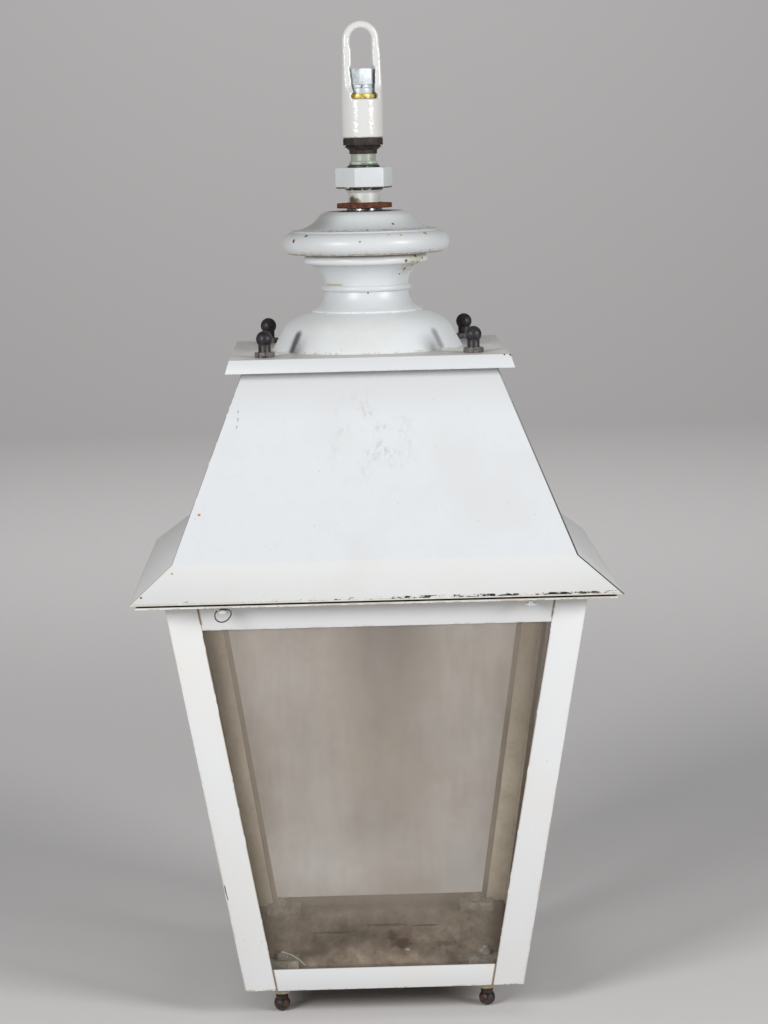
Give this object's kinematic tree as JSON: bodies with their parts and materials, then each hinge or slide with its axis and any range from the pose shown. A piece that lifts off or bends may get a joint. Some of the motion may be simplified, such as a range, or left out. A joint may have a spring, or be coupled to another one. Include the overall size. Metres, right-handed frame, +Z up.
{
  "type": "hanging street lantern",
  "caption": "Four-sided tapered glass lantern with a hipped flared roof hinged at the rear, a turned finial and a swivel suspension eye.",
  "frame": {"origin": "centre of the footprint on the floor plane that the four ball feet stand on", "axes": "+Z up through the suspension eye, -Y towards the front with the lock screws, +X to the right seen from the front; the roof hinge is at +Y"},
  "size_m": [0.5, 0.5, 1.05],
  "materials": {
    "white_paint": "satin lacquer over sheet steel, scuffed and chipped along the eaves",
    "eye_paint": "gloss white lacquer over a forged eye",
    "inner_paint": "aged lacquer, olive beige and dusty",
    "tray_paint": "dirty brown-grey floor tray with rust stains",
    "dusty_glass": "clear pane with a warm grey film of dust and streaks",
    "ball_iron": "black oxide, worn and slightly rusty at the base",
    "collar_paint": "beige, yellowed lacquer",
    "zinc": "zinc-plated, dull",
    "brass": "yellow brass, lightly tarnished",
    "rusty_iron": "red-brown rust, matt",
    "dark_iron": "dark brown malleable iron",
    "gasket_rubber": "black sponge rubber",
    "porcelain": "glazed porcelain"
  },
  "bodies": {
    "cage": {"post_front_left": "white_paint", "post_front_right": "white_paint", "post_rear_left": "white_paint", "post_rear_right": "white_paint", "top_rail_front": "white_paint", "top_rail_rear": "white_paint", "top_rail_left": "white_paint", "top_rail_right": "white_paint", "bottom_rail_front": "white_paint", "bottom_rail_rear": "white_paint", "bottom_rail_left": "white_paint", "bottom_rail_right": "white_paint", "frame_plate": "white_paint", "hinge_lower_leaves": "white_paint", "floor_tray": "tray_paint", "glass_front": "dusty_glass", "glass_rear": "dusty_glass", "glass_left": "dusty_glass", "glass_right": "dusty_glass", "glazing_strips_x": "inner_paint", "glazing_strips_y": "inner_paint", "corner_brackets": "tray_paint", "foot_balls": "ball_iron", "foot_collars": "collar_paint", "foot_studs": "zinc", "frame_screws": "zinc", "gasket": "gasket_rubber", "lock_screws": "zinc", "wire_loop": "dark_iron", "hinge_pins": "zinc"},
    "roof": {"roof_front": "white_paint", "roof_rear": "white_paint", "roof_left": "white_paint", "roof_right": "white_paint", "hinge_upper_leaves": "white_paint", "cap_plate": "white_paint", "finial_neck": "white_paint", "finial_cap": "white_paint", "large_nut": "white_paint", "cap_balls": "ball_iron", "cap_bolts": "zinc", "seal_ring": "zinc", "back_nut": "rusty_iron", "lower_pipe": "white_paint", "pipe_locknut": "zinc", "upper_pipe": "zinc", "reducing_bush": "dark_iron", "lamp_strap": "zinc", "lamp_holder": "porcelain", "holder_screw_shell": "brass", "holder_screws": "zinc", "swivel_bolt": "zinc", "spring_washer": "zinc", "zinc_washer": "zinc", "brass_washer": "brass"},
    "swivel_eye": {"suspension_eye": "eye_paint"}
  },
  "joints": [
    {"name": "roof_hinge", "type": "hinge", "parent": "cage", "child": "roof", "pos_m": [0, 0.24695, 0.4584], "axis": [-1, 0, 0], "range_deg": [0, 90]},
    {"name": "eye_swivel", "type": "hinge", "parent": "roof", "child": "swivel_eye", "pos_m": [0, 0, 0.95], "axis": [0, 0, 1], "continuous": true}
  ]
}
